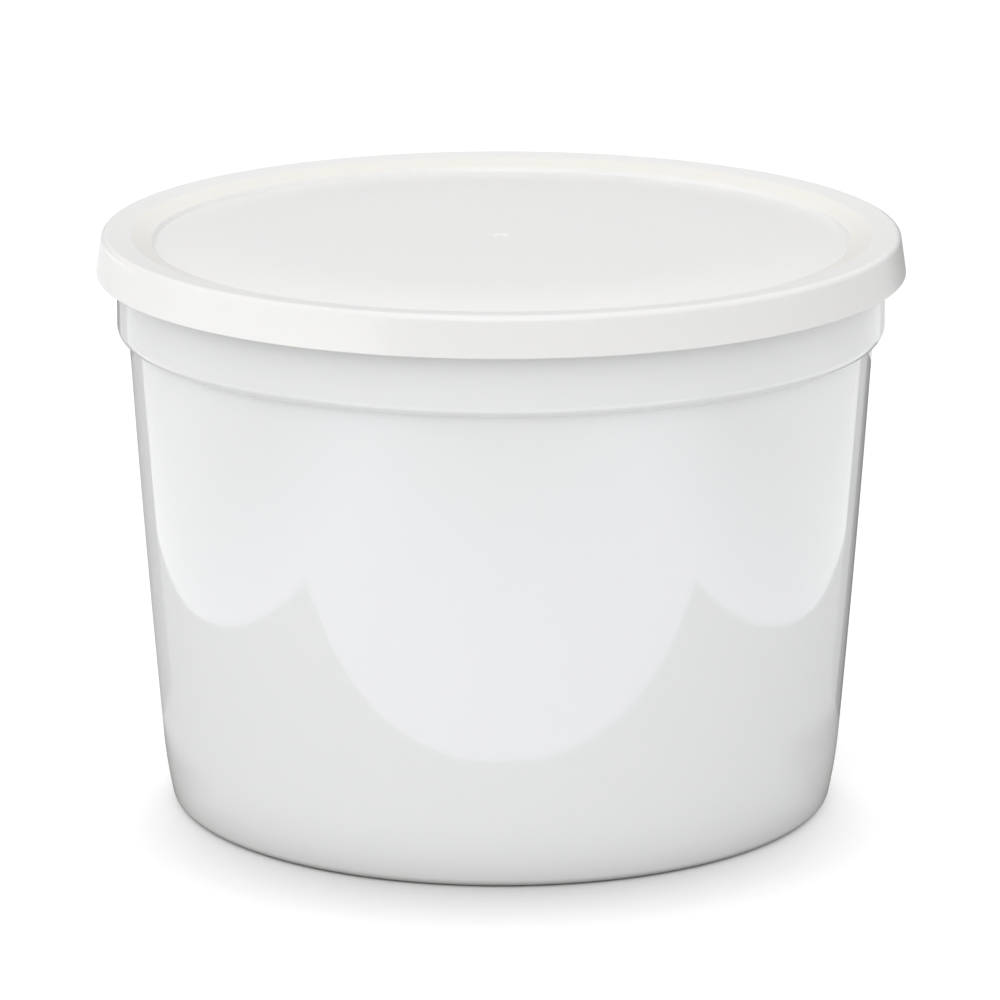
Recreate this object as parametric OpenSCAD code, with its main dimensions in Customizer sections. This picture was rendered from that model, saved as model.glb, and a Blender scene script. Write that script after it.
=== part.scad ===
// Culture tub with a press-on lid, for setting about two litres of yogurt.
// Sizes are in millimetres. The tub stands on the table plane at z = 0 and +Z points up.

/* [Tub] */
// Height from the table to the outer edge of the rim
tub_height = 121.25; // [95:0.05:160]
// Outer radius of the straight collar below the rim
collar_radius = 80.7; // [65:0.1:100]
// Height of the collar, from the shoulder to the top of the rim
collar_height = 20.45; // [14:0.05:30]
// How far the collar stands out from the side wall at the shoulder
shoulder_step = 2.4; // [1.6:0.1:4]
// How much narrower the side wall is at the heel than at the shoulder
wall_lean = 6.15; // [3:0.05:12]
// How far the side wall bows out from a straight line
wall_bow = 0.26; // [0.1:0.01:1]
// Height at which the side wall starts to curve in towards the foot
heel_height = 13.8; // [8:0.1:25]
// Radius of the curve from the side wall in to the foot
heel_curve = 92.8; // [60:0.1:160]
// Radius of the rounded edge the tub stands on
foot_round = 2.1; // [1:0.1:4]
// Thickness of the side wall and the collar
tub_wall = 1.3; // [1:0.05:2]
// Thickness of the floor
floor_thickness = 1.5; // [1.2:0.05:2.5]
// How far the underside of the floor is lifted off the table
floor_lift = 1.2; // [0.9:0.1:2.5]
// Width of the ring that the tub stands on, measured in from the rounded edge
foot_ring_width = 2.6; // [1.5:0.1:6]
// How much wider the foot ring is at the floor than where it meets the table
foot_ring_draft = 0.35; // [0.1:0.05:0.6]
// Radius of the curve between the floor and the side wall on the inside
inside_round = 4; // [2.5:0.1:8]
// Radius of the edges of the ledge inside the shoulder
ledge_round = 0.8; // [0.4:0.1:1.2]
// How far the rim reaches out past the collar
rim_reach = 1.7; // [1.4:0.05:3]
// Thickness of the rim
rim_thickness = 1.4; // [1.2:0.05:2]
// Radius of the rounded outer edges of the rim
rim_round = 0.6; // [0.2:0.05:0.65]

/* [Lid] */
// Thickness of the lid
lid_wall = 1.2; // [0.9:0.05:1.6]
// Length of the skirt, from the top of the lid to its lower edge
skirt_length = 8.45; // [6:0.05:12]
// How much wider the skirt is at its lower edge than at the top
skirt_flare = 1.23; // [0.4:0.01:2]
// Radius of the outer top edge of the lid
lid_edge_round = 1.28; // [0.6:0.01:2]
// Width of the raised ring around the lid
ring_width = 6; // [4:0.05:7]
// How much lower the ring is at its inner edge than at its outer edge
ring_fall = 0.45; // [0.1:0.01:0.8]
// Width of the slope that runs down from the ring
slope_width = 4.4; // [2:0.05:6]
// Depth of the foot of the slope below the top of the lid
slope_depth = 1.8; // [1.4:0.05:2.5]
// Width of the small step at the foot of the slope
step_width = 0.6; // [0.3:0.05:1.5]
// Depth of the edge of the panel below the top of the lid
panel_depth = 2.8; // [2.5:0.05:4]
// Width of the flat land around the panel
panel_land = 4; // [2:0.5:8]
// Width of the gentle rise from the land to the flat middle of the panel
panel_rise = 18; // [8:0.5:40]
// How far the middle of the panel stands above its land
panel_crown = 1.2; // [0.4:0.1:1.5]
// Thickness of the plug ring that seals inside the collar
plug_thickness = 1; // [0.8:0.05:1.4]
// Depth of the tip of the plug ring below the top of the lid
plug_depth = 6; // [5:0.05:8]
// How much narrower the plug ring is at its tip, to lead it into the collar
plug_lead = 0.25; // [0.1:0.05:0.35]
// Height of the narrowed tip of the plug ring
plug_lead_height = 1.5; // [0.8:0.1:2]
// Height of the snap bead above the lower edge of the skirt
bead_height = 1.5; // [1:0.05:2.5]
// Radius of the rounded tip of the snap bead inside the skirt
bead_round = 0.4; // [0.2:0.05:0.6]

/* [Clearances] */
// Space between the underside of the raised ring and the rim
seat_gap = 0.05; // [0.02:0.01:0.3]
// Space between the outer edge of the rim and the top of the skirt
side_gap = 0.15; // [0.05:0.01:0.4]
// Space between the plug ring and the inside of the collar
plug_gap = 0.2; // [0.1:0.01:0.4]
// Space between the snap bead and the rim as the lid lifts past it
bead_gap = 0.1; // [0.05:0.01:0.3]

/* [Moulding marks] */
// Radius of the shallow dimple at the centre of the lid
dimple_radius = 1.7; // [1.4:0.1:2.4]
// Width of the sloped side of the dimple
dimple_slope = 0.55; // [0.2:0.05:0.7]
// Depth of the dimple
dimple_depth = 0.35; // [0.25:0.05:0.5]
// Radius of the nub in the dimple
nub_radius = 0.6; // [0.3:0.05:0.65]
// Height of the nub, from the bottom of the dimple
nub_height = 0.2; // [0.1:0.05:0.25]
// Radius of the boss under the panel that makes up for the dimple
boss_radius = 2.8; // [2.5:0.1:4]
// Height of the boss
boss_height = 0.3; // [0.1:0.05:0.6]
// Radius of the gate mark under the floor of the tub
gate_radius = 1.2; // [0.6:0.1:3]
// Height of the gate mark, measured down from the floor
gate_height = 0.8; // [0.4:0.05:0.85]
// How much narrower each small mark is at its tip
mark_draft = 0.1; // [0.05:0.01:0.2]

/* [Hidden] */
$fa = 2;
$fs = 0.2;

// Side of the tub, as radius and height pairs.
shoulder_point = [collar_radius - shoulder_step, tub_height - collar_height];
heel_point = [shoulder_point.x - wall_lean, heel_height];
wall_chord = norm(shoulder_point - heel_point);
wall_along = (shoulder_point - heel_point) / wall_chord;
wall_out = [wall_along.y, -wall_along.x];
wall_curve = (wall_chord * wall_chord / 4 + wall_bow * wall_bow) / (2 * wall_bow);
wall_centre = (shoulder_point + heel_point) / 2 - wall_out * (wall_curve - wall_bow);
heel_out = (heel_point - wall_centre) / wall_curve;
heel_centre = heel_point - heel_out * heel_curve;

// Roundings that the mould leaves on small edges.
fine_round = 0.2;
edge_round = 0.3;
soft_round = 0.5;

// Rim and inside of the collar.
bore_radius = collar_radius - tub_wall;
rim_radius = collar_radius + rim_reach;
rim_low = tub_height - rim_thickness;
ledge_height = shoulder_point.y + tub_wall;
floor_top = floor_lift + floor_thickness;
// Flat left beside the shoulder, so that its rounding ends before the wall starts.
shoulder_land = 0.1;

// Lid, measured from its top down.
lid_top = tub_height + seat_gap + lid_wall;
lid_radius = rim_radius + side_gap + lid_wall;
skirt_radius = lid_radius + skirt_flare;
skirt_bottom = lid_top - skirt_length;
ring_radius = lid_radius - ring_width;
slope_radius = ring_radius - slope_width;
panel_radius = slope_radius - step_width;
plug_radius = bore_radius - plug_gap;
ring_grade = ring_fall / ring_width;
slope_grade = (slope_depth - ring_fall) / slope_width;

// Rise of the panel, as two equal arcs that run into one another halfway in.
rise_foot = panel_radius - panel_land;
rise_top = rise_foot - panel_rise;
rise_curve = (panel_rise * panel_rise + panel_crown * panel_crown) / (4 * panel_crown);
rise_sweep = asin(panel_rise / 2 / rise_curve);

// Radius at which a circle crosses a given height.
function across(centre, reach, height) =
    centre.x + sqrt(reach * reach - (height - centre.y) * (height - centre.y));

// Direction from one point to another, one unit long.
function towards(from, to) = (to - from) / norm(to - from);

// Angle of a direction, measured anticlockwise from straight out.
function bearing(direction) = atan2(direction.y, direction.x);

// Points along an arc, close enough together to stay within 0.01 of the true curve.
function arc(centre, radius, from, sweep, first = 0) =
    let (steps = ceil(abs(sweep) / min(20, 2 * acos(1 - 0.01 / radius))))
    [
        for (i = [first:steps])
            centre + radius * [cos(from + sweep * i / steps), sin(from + sweep * i / steps)]
    ];

// The arc that rounds the corner between two straight sides.
function corner_arc(before, corner, after, radius) =
    let (
        back = towards(corner, before),
        ahead = towards(corner, after),
        half = acos(back * ahead) / 2,
        centre = corner + towards([0, 0], back + ahead) * radius / sin(half),
        start = corner + back * radius / tan(half) - centre
    )
    arc(centre, radius, bearing(start), -sign(cross(back, ahead)) * (180 - 2 * half));

// Where two sides of an outline meet once both are moved to their right by the same depth.
function set_in(before, corner, after, depth) =
    let (
        first = towards(before, corner),
        second = towards(corner, after),
        away = [first.y + second.y, -first.x - second.x]
    )
    corner + away * 2 * depth / (away * away);

// An outline from corners that each give a radius from the axis, a height and a rounding.
function rounded(corners) =
    let (points = [for (corner = corners) [corner.x, corner.y]])
    [
        for (i = [0:len(points) - 1])
            each corners[i].z > 0
                ? corner_arc(points[i - 1], points[i], points[i + 1], corners[i].z)
                : [points[i]]
    ];

// The side wall from a flat base up to a given height, set in from its outer face.
// The rounded edge at the base, the heel and the wall run into one another smoothly.
function side(inset, base, base_round, top) =
    let (
        edge_height = base + base_round,
        edge = [across(heel_centre, heel_curve - inset - base_round, edge_height), edge_height],
        edge_end = bearing(edge - heel_centre),
        heel_end = bearing(heel_out),
        wall_end = asin((top - wall_centre.y) / (wall_curve - inset))
    )
    concat(
        arc(edge, base_round, -90, 90 + edge_end),
        arc(heel_centre, heel_curve - inset, edge_end, heel_end - edge_end, 1),
        arc(wall_centre, wall_curve - inset, heel_end, wall_end - heel_end, 1)
    );

// The rise, from a land at a given height in to the middle of the panel.
function rise(land) =
    let (points = concat(
        arc([rise_foot, land + rise_curve], rise_curve, -90, -rise_sweep),
        arc([rise_top, land + panel_crown - rise_curve], rise_curve, 90 - rise_sweep, rise_sweep, 1)
    ))
    [for (point = points) [point.x, point.y, 0]];

// Half section of the tub: the underside from the axis out, the outer face up to the rim,
// then the inner face down to the floor.
module tub_section() {
    outer = side(0, 0, foot_round, shoulder_point.y);
    inner = side(tub_wall, floor_top, inside_round, ledge_height);
    last = len(inner) - 1;
    foot_inner = outer[0].x - foot_ring_width;
    gate_tip = floor_lift - gate_height;
    polygon(rounded(concat(
        [
            [0, gate_tip, 0],
            [gate_radius - mark_draft, gate_tip, fine_round],
            [gate_radius, floor_lift, 0],
            [foot_inner - foot_ring_draft, floor_lift, soft_round],
            [foot_inner, 0, soft_round]
        ],
        [for (point = outer) [point.x, point.y, 0]],
        [
            [collar_radius, shoulder_point.y, shoulder_step - shoulder_land],
            [collar_radius, rim_low, soft_round],
            [rim_radius, rim_low, min(rim_round, rim_thickness * 0.45)],
            [rim_radius, tub_height, min(rim_round, rim_thickness * 0.45)],
            [bore_radius, tub_height - ring_grade * (rim_radius - bore_radius), edge_round],
            [bore_radius, ledge_height, ledge_round]
        ],
        [for (i = [last:-1:0]) [inner[i].x, inner[i].y, i == last ? ledge_round : 0]],
        [[0, floor_top, 0]]
    )));
}

// Half section of the lid: the underside from the axis out, with the plug ring, the channel
// over the rim and the snap bead, then the outer face and the top back to the axis.
module lid_section() {
    panel_top = lid_top - panel_depth;
    panel_edge = [panel_radius, panel_top];
    slope_foot = [slope_radius, lid_top - slope_depth];
    slope_crest = [ring_radius, lid_top - ring_fall];
    panel_under = set_in([0, panel_top], panel_edge, slope_foot, lid_wall);
    slope_under = set_in(panel_edge, slope_foot, slope_crest, lid_wall);
    plug_inner = plug_radius - plug_thickness;
    plug_tip = lid_top - plug_depth;
    flare = skirt_flare / skirt_length;
    skirt_inner = skirt_radius - lid_wall;
    channel_top = lid_top - lid_wall;
    channel_outer = lid_radius - lid_wall + flare * lid_wall;
    plug_root = min(
        slope_under.y + slope_grade * (plug_inner - slope_under.x),
        channel_top - ring_grade * (channel_outer - plug_inner)
    );
    bead_tip = rim_radius + bead_gap;
    bead_middle = skirt_bottom + bead_height;
    bead_rise = skirt_inner - flare * bead_height - bead_tip;
    under = rise(panel_under.y);
    boss_root = panel_under.y + panel_crown;
    boss_low = boss_root - boss_height;
    dimple_top = panel_top + panel_crown;
    dimple_low = dimple_top - dimple_depth;
    nub_top = dimple_low + nub_height;
    polygon(rounded(concat([
        [0, boss_low, 0],
        [boss_radius - mark_draft, boss_low, 0],
        [boss_radius, boss_root, 0]
    ], [
        for (i = [len(under) - 1:-1:0]) under[i]
    ], [
        [panel_under.x, panel_under.y, soft_round],
        [slope_under.x, slope_under.y, soft_round],
        [plug_inner, plug_root, edge_round],
        [plug_inner, plug_tip, fine_round],
        [plug_radius - plug_lead, plug_tip, fine_round],
        [plug_radius, plug_tip + plug_lead_height, soft_round],
        [plug_radius, channel_top - ring_grade * (channel_outer - plug_radius), fine_round],
        [channel_outer, channel_top, edge_round],
        [bead_tip + bead_rise * (1 - flare), bead_middle + bead_rise, fine_round],
        [bead_tip, bead_middle, bead_round],
        [bead_tip + bead_rise * (1 + flare), bead_middle - bead_rise, fine_round],
        [skirt_inner, skirt_bottom, fine_round],
        [skirt_radius, skirt_bottom, fine_round],
        [lid_radius, lid_top, lid_edge_round],
        [slope_crest.x, slope_crest.y, soft_round],
        [slope_foot.x, slope_foot.y, edge_round],
        [panel_edge.x, panel_edge.y, edge_round]
    ], rise(panel_top), [
        [dimple_radius, dimple_top, 0],
        [dimple_radius - dimple_slope, dimple_low, 0],
        [nub_radius, dimple_low, 0],
        [nub_radius - mark_draft, nub_top, 0],
        [0, nub_top, 0]
    ])));
}

module tub() {
    color([0.93, 0.935, 0.935])
    rotate_extrude()
        tub_section();
}

module lid() {
    color([0.945, 0.94, 0.92])
    rotate_extrude()
        lid_section();
}

tub();
lid();
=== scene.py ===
import math

import bmesh
import bpy
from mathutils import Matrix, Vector


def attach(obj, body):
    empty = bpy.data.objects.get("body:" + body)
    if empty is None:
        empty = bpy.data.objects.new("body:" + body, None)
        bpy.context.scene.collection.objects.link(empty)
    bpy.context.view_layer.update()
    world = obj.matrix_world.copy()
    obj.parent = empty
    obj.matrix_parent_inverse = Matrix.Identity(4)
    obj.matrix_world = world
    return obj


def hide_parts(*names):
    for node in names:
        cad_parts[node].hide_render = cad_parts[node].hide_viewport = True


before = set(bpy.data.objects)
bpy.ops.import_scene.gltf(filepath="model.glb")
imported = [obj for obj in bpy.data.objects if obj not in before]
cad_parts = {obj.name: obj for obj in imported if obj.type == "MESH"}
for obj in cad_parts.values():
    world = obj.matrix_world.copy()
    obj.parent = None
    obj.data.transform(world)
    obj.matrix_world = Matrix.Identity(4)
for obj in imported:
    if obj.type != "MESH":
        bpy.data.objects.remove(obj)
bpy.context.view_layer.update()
print("frame loaded:", sorted(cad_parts))

mm = 0.001
tiny = 1e-6
noiseMiddle = 0.5  # a noise runs from 0 to 1
black = (0.0, 0.0, 0.0)
white = (1.0, 1.0, 1.0)

turning = {  # how finely an outline is drawn and turned, in millimetres
    "steps": 300,  # round a full turn
    "arcSteps": 2,  # along an arc, at the least
    "arcTurn": math.radians(9),  # the longest of those steps
    "arcSag": 0.002,  # and how far a chord may cut inside it
    "braceMargin": 0.12,  # points this near each end of a straight keep it flat in the light
    "braceLength": 0.6,  # if it is longer than this
}


class Wire:  # a value in a material, which sums and products add Math nodes to
    def __init__(self, sheet, socket):
        self.sheet = sheet
        self.socket = socket

    def join(self, operation, first, second=0.0):
        return self.sheet.add("ShaderNodeMath", {"operation": operation}, {0: first, 1: second}, "Value")

    def __add__(self, other):
        return self.join("ADD", self, other)

    __radd__ = __add__

    def __sub__(self, other):
        return self.join("SUBTRACT", self, other)

    def __rsub__(self, other):
        return self.join("SUBTRACT", other, self)

    def __mul__(self, other):
        return self.join("MULTIPLY", self, other)

    __rmul__ = __mul__

    def __truediv__(self, other):
        return self.join("DIVIDE", self, other)

    def __gt__(self, other):
        return self.join("GREATER_THAN", self, other)

    def larger(self, other):
        return self.join("MAXIMUM", self, other)

    def size(self):
        return self.join("ABSOLUTE", self)

    def root(self):
        return self.join("SQRT", self)

    def clamped(self):
        return self.join("MINIMUM", self.larger(0.0), 1.0)

    def between(self, low, high):  # 0 up to low, 1 from high on
        return ((self - low) / (high - low)).clamped()


class Sheet:  # the nodes of a material or of the world
    def __init__(self, owner):
        owner.use_nodes = True
        self.owner = owner
        self.tree = owner.node_tree
        self.tree.nodes.clear()

    def add(self, kind, settings, sockets, output=None):
        node = self.tree.nodes.new(kind)
        for name, value in settings.items():
            setattr(node, name, value)
        for name, value in sockets.items():
            if isinstance(value, Wire):
                self.tree.links.new(value.socket, node.inputs[name])
            else:
                node.inputs[name].default_value = value
        return None if output is None else Wire(self, node.outputs[output])

    def place(self):
        return self.add("ShaderNodeTexCoord", {}, {}, "Object")

    def axis(self, name):
        return self.add("ShaderNodeSeparateXYZ", {}, {0: self.place()}, name)

    def ray(self, kind):  # 1 for what the camera sees or what a gloss sees, 0 for the rest
        return self.add("ShaderNodeLightPath", {}, {}, f"Is {kind} Ray")

    def noise(self, scale, detail, roughness):
        sockets = {"Vector": self.place(), "Scale": scale, "Detail": detail, "Roughness": roughness}
        return self.add("ShaderNodeTexNoise", {"noise_dimensions": "3D"}, sockets, "Fac")

    def colour(self, value):
        return value if isinstance(value, Wire) else (*value, 1.0)

    def blend(self, amount, first, second):  # 6, 7 and 2 are the Mix node's colour sockets
        sockets = {"Factor": amount, 6: self.colour(first), 7: self.colour(second)}
        return self.add("ShaderNodeMix", {"data_type": "RGBA"}, sockets, 2)

    def bump(self, height, depth, after=None):
        sockets = {"Height": height, "Distance": depth, "Strength": 1.0}
        if after:
            sockets["Normal"] = after
        return self.add("ShaderNodeBump", {}, sockets, "Normal")

    def plastic(self, finish, clouds, colour):
        waves = self.bump(self.noise(*finish["waves"]), finish["waveDepth"])
        sockets = {
            "Base Color": colour,
            "Roughness": finish["roughness"] + (clouds - noiseMiddle) * finish["roughnessSpread"],
            "Normal": self.bump(self.noise(*finish["grain"]), finish["grainDepth"], waves),
            "IOR": finish["refraction"],
            "Subsurface Weight": finish["depthShare"],
            "Subsurface Radius": finish["depthTints"],
            "Subsurface Scale": finish["depth"],
        }
        settings = {"subsurface_method": "RANDOM_WALK"}
        return self.add("ShaderNodeBsdfPrincipled", settings, sockets, "BSDF")

    def glow(self, colour, strength):
        sockets = {"Color": self.colour(colour), "Strength": strength}
        return self.add("ShaderNodeEmission", {}, sockets, "Emission")

    def both(self, first, second):
        return self.add("ShaderNodeAddShader", {}, {0: first, 1: second}, "Shader")

    def surface(self, shader):
        self.add("ShaderNodeOutputMaterial", {}, {"Surface": shader})


def away(first, second):  # how far a place is from where both are 0
    return (first * first + second * second).root()


def towards(start, end):
    return (end - start).normalized()


def bearing(direction):
    return math.atan2(direction.y, direction.x)


def arc(centre, radius, start, sweep, first=0):  # points along an arc
    step = min(turning["arcTurn"], 2 * math.acos(1 - turning["arcSag"] / radius))
    steps = max(turning["arcSteps"], math.ceil(abs(sweep) / step))
    turns = [start + sweep * i / steps for i in range(first, steps + 1)]
    return [centre + radius * Vector((math.cos(turn), math.sin(turn))) for turn in turns]


def pairs(points):
    return [(point.x, point.y) for point in points]


def cornerArc(before, corner, after, radius):
    back = towards(corner, before)
    ahead = towards(corner, after)
    half = math.acos(max(-1.0, min(1.0, back.dot(ahead)))) / 2
    centre = corner + (back + ahead).normalized() * radius / math.sin(half)
    start = corner + back * radius / math.tan(half) - centre
    bend = back.x * ahead.y - back.y * ahead.x
    return arc(centre, radius, bearing(start), -math.copysign(math.pi - 2 * half, bend))


def rounded(corners):  # corners are (radius, height) or (radius, height, rounding)
    points = [Vector(corner[:2]) for corner in corners]
    outline = []
    for i, corner in enumerate(corners):
        if len(corner) > 2 and corner[2] > 0:
            outline += cornerArc(points[i - 1], points[i], points[i + 1], corner[2])
        else:
            outline.append(points[i])
    return outline


def braced(outline):
    result = [outline[0]]
    for start, end in zip(outline, outline[1:]):
        length = (end - start).length
        if length < tiny:
            continue
        if length > turning["braceLength"]:
            step = (end - start) * turning["braceMargin"] / length
            result += [start + step, end - step]
        result.append(end)
    return result


def across(centre, reach, height):  # how far out a circle is at a height
    return centre.x + math.sqrt(reach * reach - (height - centre.y) ** 2)


def setIn(before, corner, after, depth):  # where two sides meet once both are moved in by one depth
    first = towards(before, corner)
    second = towards(corner, after)
    out = Vector((first.y + second.y, -first.x - second.x))
    return corner + out * 2 * depth / out.dot(out)


def makePiece(name, mesh, material):
    mesh.materials.append(material)
    piece = bpy.data.objects.new(name, mesh)
    bpy.context.scene.collection.objects.link(piece)
    return piece


def ringAt(build, point):  # one outline point as a ring, or as a single point on the axis
    if point.x < tiny:
        return [build.verts.new((0.0, 0.0, point.y * mm))]
    out, height = point.x * mm, point.y * mm
    turns = [2 * math.pi * i / turning["steps"] for i in range(turning["steps"])]
    return [build.verts.new((out * math.cos(turn), out * math.sin(turn), height)) for turn in turns]


def lathe(name, outline, material):
    mesh = bpy.data.meshes.new(name)
    build = bmesh.new()
    rings = [ringAt(build, point) for point in outline]
    for low, high in zip(rings, rings[1:]):
        for i in range(turning["steps"]):
            j = (i + 1) % turning["steps"]
            if len(low) == 1:
                build.faces.new((low[0], high[j], high[i]))
            elif len(high) == 1:
                build.faces.new((low[i], low[j], high[0]))
            else:
                build.faces.new((low[i], low[j], high[j], high[i]))
    bmesh.ops.recalc_face_normals(build, faces=build.faces)
    for face in build.faces:
        face.smooth = True
    build.to_mesh(mesh)
    build.free()
    return makePiece(name, mesh, material)


fineRound = 0.2  # small roundings that both pieces share, in millimetres
edgeRound = 0.3
softRound = 0.5
markDraft = 0.1

tub = {  # sizes in millimetres
    "height": 121.25,
    "collarRadius": 80.7,
    "collarHeight": 20.45,
    "shoulderStep": 2.4,
    "shoulderLand": 0.1,
    "wallLean": 6.15,
    "wallBow": 0.26,
    "heelHeight": 13.8,
    "heelCurve": 92.8,
    "footRound": 2.1,
    "footRingWidth": 2.6,
    "footRingDraft": 0.35,
    "wall": 1.3,
    "floor": 1.5,
    "floorLift": 1.2,
    "insideRound": 4.0,
    "ledgeRound": 0.8,
    "rimReach": 1.7,
    "rimThickness": 1.4,
    "rimRound": 0.6,
    "gateRadius": 1.2,
    "gateHeight": 0.8,
    "finish": {  # glossy cool white polypropylene
        "base": (0.896, 0.904, 0.900),
        "cloudy": (0.886, 0.896, 0.893),
        "clouds": (22.0, 3.0, 0.6),  # scale, detail and roughness, as for the other two
        "grain": (1500.0, 2.0, 0.6),
        "waves": (16.0, 1.0, 0.4),
        "grainDepth": 0.0000006,  # metres
        "waveDepth": 0.00003,
        "roughness": 0.06,
        "roughnessSpread": 0.03,
        "refraction": 1.49,
        "depthShare": 0.10,  # how much of the light goes below the surface
        "depthTints": (1.0, 0.9, 0.8),
        "depth": 0.0012,  # metres
    },
}
boreRadius = tub["collarRadius"] - tub["wall"]
rimRadius = tub["collarRadius"] + tub["rimReach"]


def makeTubPlastic():
    sheet = Sheet(bpy.data.materials.new("tubPolypropylene"))
    finish = tub["finish"]
    clouds = sheet.noise(*finish["clouds"])
    sheet.surface(sheet.plastic(finish, clouds, sheet.blend(clouds, finish["base"], finish["cloudy"])))
    return sheet.owner


def tubOutline():
    shoulder = Vector((tub["collarRadius"] - tub["shoulderStep"], tub["height"] - tub["collarHeight"]))
    heel = Vector((shoulder.x - tub["wallLean"], tub["heelHeight"]))
    along = towards(heel, shoulder)
    chord = (shoulder - heel).length
    wallCurve = (chord * chord / 4 + tub["wallBow"] ** 2) / (2 * tub["wallBow"])
    wallCentre = (shoulder + heel) / 2 - Vector((along.y, -along.x)) * (wallCurve - tub["wallBow"])
    heelOut = (heel - wallCentre) / wallCurve
    heelCentre = heel - heelOut * tub["heelCurve"]

    def side(inset, base, baseRound, top):  # from the base up the heel and the wall
        edgeHeight = base + baseRound
        edge = Vector((across(heelCentre, tub["heelCurve"] - inset - baseRound, edgeHeight), edgeHeight))
        edgeEnd = bearing(edge - heelCentre)
        heelEnd = bearing(heelOut)
        wallEnd = math.asin((top - wallCentre.y) / (wallCurve - inset))
        points = arc(edge, baseRound, -math.pi / 2, math.pi / 2 + edgeEnd)
        points += arc(heelCentre, tub["heelCurve"] - inset, edgeEnd, heelEnd - edgeEnd, 1)
        points += arc(wallCentre, wallCurve - inset, heelEnd, wallEnd - heelEnd, 1)
        return pairs(points)

    ledgeHeight = shoulder.y + tub["wall"]
    outer = side(0, 0, tub["footRound"], shoulder.y)
    inner = side(tub["wall"], tub["floorLift"] + tub["floor"], tub["insideRound"], ledgeHeight)[::-1]
    inner[0] = (*inner[0], tub["ledgeRound"])
    footInner = outer[0][0] - tub["footRingWidth"]
    gateTip = tub["floorLift"] - tub["gateHeight"]
    rimLow = tub["height"] - tub["rimThickness"]
    return rounded(
        [
            (0, gateTip),
            (tub["gateRadius"] - markDraft, gateTip, fineRound),
            (tub["gateRadius"], tub["floorLift"]),
            (footInner - tub["footRingDraft"], tub["floorLift"], softRound),
            (footInner, 0, softRound),
        ]
        + outer
        + [
            (tub["collarRadius"], shoulder.y, tub["shoulderStep"] - tub["shoulderLand"]),
            (tub["collarRadius"], rimLow, softRound),
            (rimRadius, rimLow, tub["rimRound"]),
            (rimRadius, tub["height"], tub["rimRound"]),
            (boreRadius, tub["height"] - ringGrade * (rimRadius - boreRadius), edgeRound),
            (boreRadius, ledgeHeight, tub["ledgeRound"]),
        ]
        + inner
        + [(0, tub["floorLift"] + tub["floor"])]
    )


lid = {  # sizes in millimetres
    "wall": 1.2,
    "skirtLength": 8.45,
    "skirtFlare": 1.23,
    "edgeRound": 1.28,
    "ringWidth": 6.0,
    "ringFall": 0.45,
    "slopeWidth": 4.4,
    "slopeDepth": 1.8,
    "stepWidth": 0.6,
    "panelDepth": 2.8,
    "panelLand": 4.0,
    "panelRise": 18.0,
    "panelCrown": 1.2,
    "crownReach": 26.0,  # the top face falls off to its edge over this width
    "plugThickness": 1.0,
    "plugDepth": 6.0,
    "plugLead": 0.25,
    "plugLeadHeight": 1.5,
    "beadHeight": 1.5,
    "beadRound": 0.4,
    "seatGap": 0.05,
    "sideGap": 0.15,
    "plugGap": 0.2,
    "beadGap": 0.1,
    "dimpleRadius": 1.7,
    "dimpleSlope": 0.55,
    "dimpleDepth": 0.35,
    "nubRadius": 0.6,
    "nubHeight": 0.2,
    "bossRadius": 2.8,
    "bossHeight": 0.3,
    "finish": {  # satin warm white polyethylene
        "base": (0.890, 0.884, 0.868),
        "cloudy": (0.880, 0.875, 0.860),
        "slopeShade": (0.900, 0.872, 0.822),  # painted shade: the slope between the crest and the panel is painted a darker, warmer cream
        "slopeShadeInner": (0.0732, 0.0738),  # metres from the axis, where that starts
        "slopeShadeOuter": (0.0772, 0.0778),  # and where it ends
        "clouds": (30.0, 3.0, 0.6),
        "grain": (1100.0, 3.0, 0.6),
        "waves": (20.0, 1.0, 0.4),
        "grainDepth": 0.0000035,
        "waveDepth": 0.00010,
        "roughness": 0.30,
        "roughnessSpread": 0.04,
        "refraction": 1.51,
        "depthShare": 0.25,
        "depthTints": (1.0, 0.85, 0.65),
        "depth": 0.0015,
    },
}
ringGrade = lid["ringFall"] / lid["ringWidth"]


def makeLidPlastic():
    sheet = Sheet(bpy.data.materials.new("lidPolyethylene"))
    finish = lid["finish"]
    clouds = sheet.noise(*finish["clouds"])
    fromAxis = away(sheet.axis("X"), sheet.axis("Y"))
    # painted shade on the slope: a band from about the slope's foot to about its crest
    slopeShadeMask = fromAxis.between(*finish["slopeShadeInner"]) * (1 - fromAxis.between(*finish["slopeShadeOuter"]))
    plain = sheet.blend(clouds, finish["base"], finish["cloudy"])
    sheet.surface(sheet.plastic(finish, clouds, sheet.blend(slopeShadeMask, plain, finish["slopeShade"])))
    return sheet.owner


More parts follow.
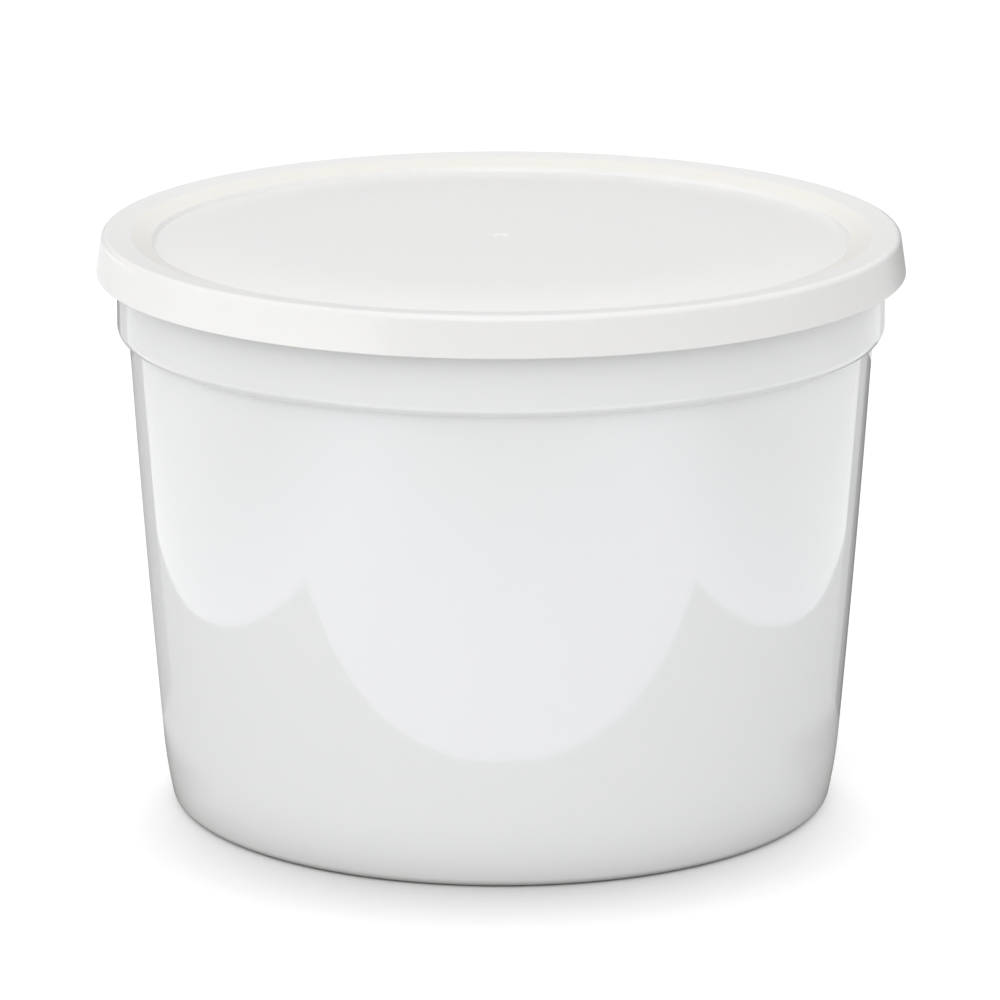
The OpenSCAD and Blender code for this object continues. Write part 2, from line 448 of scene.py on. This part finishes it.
def lidOutline():
    top = tub["height"] + lid["seatGap"] + lid["wall"]
    outerRadius = rimRadius + lid["sideGap"] + lid["wall"]
    skirtRadius = outerRadius + lid["skirtFlare"]
    skirtBottom = top - lid["skirtLength"]
    crest = Vector((outerRadius - lid["ringWidth"], top - lid["ringFall"]))
    foot = Vector((crest.x - lid["slopeWidth"], top - lid["slopeDepth"]))
    panel = Vector((foot.x - lid["stepWidth"], top - lid["panelDepth"]))
    panelUnder = setIn(Vector((0, panel.y)), panel, foot, lid["wall"])
    slopeUnder = setIn(panel, foot, crest, lid["wall"])
    slopeGrade = (crest.y - foot.y) / lid["slopeWidth"]
    plugRadius = boreRadius - lid["plugGap"]
    plugInner = plugRadius - lid["plugThickness"]
    plugTip = top - lid["plugDepth"]
    flare = lid["skirtFlare"] / lid["skirtLength"]
    skirtInner = skirtRadius - lid["wall"]
    channelTop = top - lid["wall"]
    channelOuter = outerRadius - lid["wall"] + flare * lid["wall"]
    beadTip = rimRadius + lid["beadGap"]
    beadMiddle = skirtBottom + lid["beadHeight"]
    beadRise = skirtInner - flare * lid["beadHeight"] - beadTip
    ringUnder = channelTop - ringGrade * (channelOuter - plugInner)
    plugRoot = min(slopeUnder.y + slopeGrade * (plugInner - slopeUnder.x), ringUnder)
    bossRoot = panelUnder.y + lid["panelCrown"]
    bossLow = bossRoot - lid["bossHeight"]
    dimpleTop = panel.y + lid["panelCrown"]
    dimpleLow = dimpleTop - lid["dimpleDepth"]
    nubTop = dimpleLow + lid["nubHeight"]

    def underRise():  # the underside rises to its flat middle in two equal arcs
        start = panel.x - lid["panelLand"]
        curve = (lid["panelRise"] ** 2 + lid["panelCrown"] ** 2) / (4 * lid["panelCrown"])
        sweep = math.asin(lid["panelRise"] / 2 / curve)
        points = arc(Vector((start, panelUnder.y + curve)), curve, -math.pi / 2, -sweep)
        high = Vector((start - lid["panelRise"], bossRoot - curve))
        return pairs(points + arc(high, curve, math.pi / 2 - sweep, sweep, 1))

    def topCrown():  # the top face rises to it in one
        curve = (lid["crownReach"] ** 2 + lid["panelCrown"] ** 2) / (2 * lid["panelCrown"])
        sweep = math.asin(lid["crownReach"] / curve)
        centre = Vector((panel.x - lid["crownReach"], dimpleTop - curve))
        return pairs(arc(centre, curve, math.pi / 2 - sweep, sweep, 1))

    return rounded(
        [
            (0, bossLow),
            (lid["bossRadius"] - markDraft, bossLow),
            (lid["bossRadius"], bossRoot),
        ]
        + underRise()[::-1]
        + [
            (panelUnder.x, panelUnder.y, softRound),
            (slopeUnder.x, slopeUnder.y, softRound),
            (plugInner, plugRoot, edgeRound),
            (plugInner, plugTip, fineRound),
            (plugRadius - lid["plugLead"], plugTip, fineRound),
            (plugRadius, plugTip + lid["plugLeadHeight"], softRound),
            (plugRadius, channelTop - ringGrade * (channelOuter - plugRadius), fineRound),
            (channelOuter, channelTop, edgeRound),
            (beadTip + beadRise * (1 - flare), beadMiddle + beadRise, fineRound),
            (beadTip, beadMiddle, lid["beadRound"]),
            (beadTip + beadRise * (1 + flare), beadMiddle - beadRise, fineRound),
            (skirtInner, skirtBottom, fineRound),
            (skirtRadius, skirtBottom, fineRound),
            (outerRadius, top, lid["edgeRound"]),
            (crest.x, crest.y, softRound),
            (foot.x, foot.y, edgeRound),
            (panel.x, panel.y, edgeRound),
        ]
        + topCrown()
        + [
            (lid["dimpleRadius"], dimpleTop),
            (lid["dimpleRadius"] - lid["dimpleSlope"], dimpleLow),
            (lid["nubRadius"], dimpleLow),
            (lid["nubRadius"] - markDraft, nubTop),
            (0, nubTop),
        ]
    )


tubPiece = lathe("tubShell", braced(tubOutline()), makeTubPlastic())
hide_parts("tub")
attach(tubPiece, "tub")
print("tub turned")

lidPiece = lathe("lidShell", braced(lidOutline()), makeLidPlastic())
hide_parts("lid")
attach(lidPiece, "lid")
print("lid turned")


def flatPiece(name, corners, material):
    mesh = bpy.data.meshes.new(name)
    mesh.from_pydata(corners, [], [tuple(range(len(corners)))])
    return makePiece(name, mesh, material)


ground = {  # metres; a pair of numbers is where a change starts and where it is done
    "half": 3.0,  # from the tub to the floor's edge
    "colour": (0.74, 0.74, 0.74),
    "boardHalfWidth": 0.184,  # the tub stands on a board this wide to each side
    "boardFront": -0.130,  # and its front edge is here
    "glowColour": (0.72, 0.68, 0.92),  # what a gloss sees of the floor past the board, ahead of it
    "glowLevel": 2.1,
    "glowAhead": 0.20,
    "glowBeside": 0.13,
    "farColour": (0.78, 0.78, 0.80),  # and what it sees beside and behind it
    "farLevel": 1.7,
    "farBeside": 0.60,
    "farTurn": (-0.12, 0.08),
    "farFall": (-0.14, 0.60),
    "farLeast": 0.42,
    "footShadowColour": (0.24, 0.23, 0.22),  # painted shadow: the floor round the foot, darker as the tub sees it
    "footShadowEdge": (0.069, 0.081),
    "glossShadowShift": 0.010,  # painted shadow: a dark patch on the floor round the back, which only a gloss sees
    "glossShadowEdge": (0.096, 0.108),
    "glossShadowFront": (-0.030, -0.010),
    "glossShadowShare": 0.82,
    "lift": 0.46,  # keeps the floor white to the eye, with a shadow only near the tub
    "shadowAside": -0.002,
    "shadowForward": 0.034,
    "shadowStretch": 0.87,  # it reaches out to the sides by one over this
    "shadowEdge": (0.038, 0.077),
}


def boardGlow(sheet, aside, along):  # the floor past the board, ahead of it and further round
    beside = aside.size() - ground["boardHalfWidth"]
    ahead = ground["boardFront"] - along
    past = (beside.larger(ahead) > 0) * sheet.ray("Glossy")
    turned = along.between(*ground["farTurn"])
    out = ahead.between(0, ground["glowAhead"])
    near = (1 - out * out) * (1 - beside.between(0, ground["glowBeside"])) * (1 - turned)
    fall = (1 - along.between(*ground["farFall"])).larger(ground["farLeast"])
    far = turned * fall * (1 - beside.between(0, ground["farBeside"]))
    nearGlow = sheet.glow(sheet.blend(past * near, black, ground["glowColour"]), ground["glowLevel"])
    farGlow = sheet.glow(sheet.blend(past * far, black, ground["farColour"]), ground["farLevel"])
    return nearGlow, farGlow


def makeFloor():
    sheet = Sheet(bpy.data.materials.new("studioFloor"))
    aside, along = sheet.axis("X"), sheet.axis("Y")
    toEye = sheet.ray("Camera")
    # painted shadow round the foot, which all but the camera see
    foot = 1 - away(aside, along).between(*ground["footShadowEdge"])
    # painted shadow round the back, which only a gloss sees
    glossShadow = 1 - away(aside - ground["glossShadowShift"], along).between(*ground["glossShadowEdge"])
    glossShadow = glossShadow * along.between(*ground["glossShadowFront"]) * sheet.ray("Glossy") * ground["glossShadowShare"]
    # both painted shadows darken the floor's colour
    paintedShadow = (foot * (1 - toEye)).larger(glossShadow)
    colour = sheet.blend(paintedShadow, ground["colour"], ground["footShadowColour"])
    matte = sheet.add("ShaderNodeBsdfDiffuse", {}, {"Color": colour}, "BSDF")
    squeezed = (aside - ground["shadowAside"]) * ground["shadowStretch"]
    clear = away(squeezed, along + ground["shadowForward"]).between(*ground["shadowEdge"])
    shader = sheet.both(matte, sheet.glow(sheet.blend(toEye * clear, black, white), ground["lift"]))
    for glow in boardGlow(sheet, aside, along):
        shader = sheet.both(shader, glow)
    sheet.surface(shader)
    half = ground["half"]
    corners = [(-half, -half, 0), (half, -half, 0), (half, half, 0), (-half, half, 0)]
    floor = flatPiece("floor", corners, sheet.owner)


def hideFromAllButGloss(card):
    card.visible_camera = False
    card.visible_diffuse = False
    card.visible_shadow = False
    card.visible_transmission = False


# Dark cards that draw the edges of a white tub on white. Distances are from the tub's axis, in metres.
flagBehind = 0.045
flags = {  # to the left and right of the tub
    "left": {"across": (-0.117, -0.070), "heights": (0.001, 0.083), "level": 0.44},
    "leftHigh": {"across": (-0.098, -0.070), "heights": (0.083, 0.0985), "level": 0.25},
    "leftHighSoft": {"across": (-0.116, -0.098), "heights": (0.083, 0.0985), "level": 0.68},
    "right": {"across": (0.070, 0.100), "heights": (0.001, 0.083), "level": 0.10},
    "rightSoft": {"across": (0.100, 0.116), "heights": (0.001, 0.083), "level": 0.45},
    "rightCollar": {"across": (0.070, 0.104), "heights": (0.083, 0.0985), "level": 0.75},
    "rightHigh": {"across": (0.084, 0.132), "heights": (0.0985, 0.130), "level": 0.0},
}
roundFlags = {  # the same for someone who walks round the tub, each cut to its side and fading out
    "turns": {"back": 180, "right": 90, "left": 270, "backRight": 135, "backLeft": 225},  # degrees
    "heights": (0.001, 0.0995, 0.1125),  # at the table, the shoulder and just below the lid
    "level": 0.40,
    "back": {
        "behind": 0.045,
        "foot": 0.070,
        "shoulder": 0.070,
        "collar": 0.070,
        "solid": 0.040,
        "fade": 0.120,
    },
    "side": {
        "behind": 0.0,
        "foot": 0.0715,
        "shoulder": 0.0788,
        "collar": 0.0812,
        "solid": 0.008,
        "fade": 0.060,
    },
}


def makeFlag(name, corners, level, turn=0, fade=None):  # it is clear from its far side
    sheet = Sheet(bpy.data.materials.new(name + "Card"))
    cover = 1 - sheet.add("ShaderNodeNewGeometry", {}, {}, "Backfacing")
    if fade:
        cover = cover * (1 - sheet.axis("X").size().between(*fade))
    clear = sheet.add("ShaderNodeBsdfTransparent", {}, {}, "BSDF")
    shade = sheet.glow((level, level, level), 1.0)
    sheet.surface(sheet.add("ShaderNodeMixShader", {}, {0: cover, 1: clear, 2: shade}, "Shader"))
    card = flatPiece(name, corners, sheet.owner)
    card.rotation_euler = (0, 0, math.radians(turn))
    hideFromAllButGloss(card)


def makeFlags():
    for name, facts in flags.items():
        start, end = facts["across"]
        low, high = facts["heights"]
        corners = [(start, low), (end, low), (end, high), (start, high)]
        makeFlag(name, [(out, flagBehind, height) for out, height in corners], facts["level"])


def makeRoundFlags():
    table, shoulder, top = roundFlags["heights"]
    for name, turn in roundFlags["turns"].items():
        facts = roundFlags["back" if name == "back" else "side"]
        fadeFrom = facts["shoulder"] + facts["solid"]
        end = fadeFrom + facts["fade"]
        edge = [(facts["foot"], table), (end, table), (end, top)]
        edge += [(facts["collar"], top), (facts["collar"], shoulder), (facts["shoulder"], shoulder)]
        for side, label in ((-1, "Near"), (1, "Far")):
            corners = [(side * out, facts["behind"], height) for out, height in edge]
            makeFlag(name + label, corners[::side], roundFlags["level"], turn, (fadeFrom, end))


glowCards = {  # bright cards that shine in the lid's skirt
    "frontGlow": {"turn": 66, "distance": 0.6, "width": 0.85, "heights": (0.03, 0.22), "level": 2.4},
    "backGlow": {"turn": 122, "distance": 1.0, "width": 1.0, "heights": (0.001, 0.25), "level": 1.9},
}


def makeGlowCards():
    for name, facts in glowCards.items():
        turn = math.radians(facts["turn"])
        centre = Vector((-math.sin(turn), -math.cos(turn), 0)) * facts["distance"]
        along = Vector((math.cos(turn), -math.sin(turn), 0)) * facts["width"] / 2
        low, high = [Vector((0, 0, height)) for height in facts["heights"]]
        corners = [centre - along + low, centre + along + low, centre + along + high, centre - along + high]
        sheet = Sheet(bpy.data.materials.new(name))
        sheet.surface(sheet.glow(white, facts["level"]))
        hideFromAllButGloss(flatPiece(name, corners, sheet.owner))


sky = {
    "level": 0.75,  # as it lights the floor and the tub
    "lowGloss": 0.45,  # what a gloss sees low down behind the tub
    "highGloss": 1.05,  # and higher up
    "heights": (0.16, 0.38),  # one turns into the other from here to here
}


def makeSky():
    world = bpy.data.worlds.new("studioWorld")
    bpy.context.scene.world = world
    sheet = Sheet(world)
    where = sheet.add("ShaderNodeTexCoord", {}, {}, "Generated")
    height = sheet.add("ShaderNodeSeparateXYZ", {}, {0: where}, "Z")
    gloss = sky["lowGloss"] + height.between(*sky["heights"]) * (sky["highGloss"] - sky["lowGloss"])
    base = sky["level"]
    level = base + sheet.ray("Camera") * (1 - base) + sheet.ray("Glossy") * (gloss - base)
    sockets = {"Color": sheet.colour(white), "Strength": level}
    light = sheet.add("ShaderNodeBackground", {}, sockets, "Background")
    sheet.add("ShaderNodeOutputWorld", {}, {"Surface": light})


lens = {
    "target": (0.0, 0.0, 0.0595),
    "distance": 1.290,
    "elevation": 14.69,  # degrees
    "tilt": -0.003,  # radians up from the target
    "focal": 218.6,
    "sensor": 36.0,
    "shiftX": -0.00107,
}


def makeCamera():
    data = bpy.data.cameras.new("camera")
    data.sensor_width = lens["sensor"]
    data.sensor_fit = "HORIZONTAL"
    data.lens = lens["focal"]
    data.shift_x = lens["shiftX"]
    camera = bpy.data.objects.new("camera", data)
    rise = math.radians(lens["elevation"])
    camera.location = Vector(lens["target"]) + lens["distance"] * Vector((0, -math.cos(rise), math.sin(rise)))
    camera.rotation_euler = (math.pi / 2 - rise - lens["tilt"], 0, 0)
    bpy.context.scene.collection.objects.link(camera)
    bpy.context.scene.camera = camera


lampSide = 0.8
lamps = {
    "front": {"place": (0.0, -1.065, 0.806), "watts": 2.25, "tint": white},
    "frontLeft": {"place": (-0.753, -0.753, 0.806), "watts": 0.5, "tint": white},
    "left": {"place": (-1.065, 0.0, 0.806), "watts": 1.4, "tint": (1.0, 0.99, 0.98)},
    "right": {"place": (1.065, 0.0, 0.806), "watts": 0.2, "tint": white},
    "above": {"place": (0.0, -0.55, 1.24), "watts": 1.65, "tint": white},
}


def makeLamps():
    for name, facts in lamps.items():
        data = bpy.data.lights.new(name, "AREA")
        data.shape = "SQUARE"
        data.size = lampSide
        data.energy = facts["watts"]
        data.color = facts["tint"]
        lamp = bpy.data.objects.new(name, data)
        lamp.location = facts["place"]
        aim = Vector(lens["target"]) - Vector(facts["place"])
        lamp.rotation_euler = aim.to_track_quat("-Z", "Y").to_euler()
        bpy.context.scene.collection.objects.link(lamp)


makeFloor()
print("floor laid")
makeFlags()
makeRoundFlags()
makeGlowCards()
print("cards set round the tub")
makeSky()
makeLamps()
makeCamera()
bpy.context.scene.view_settings.view_transform = "Standard"
print("lamps and camera set")
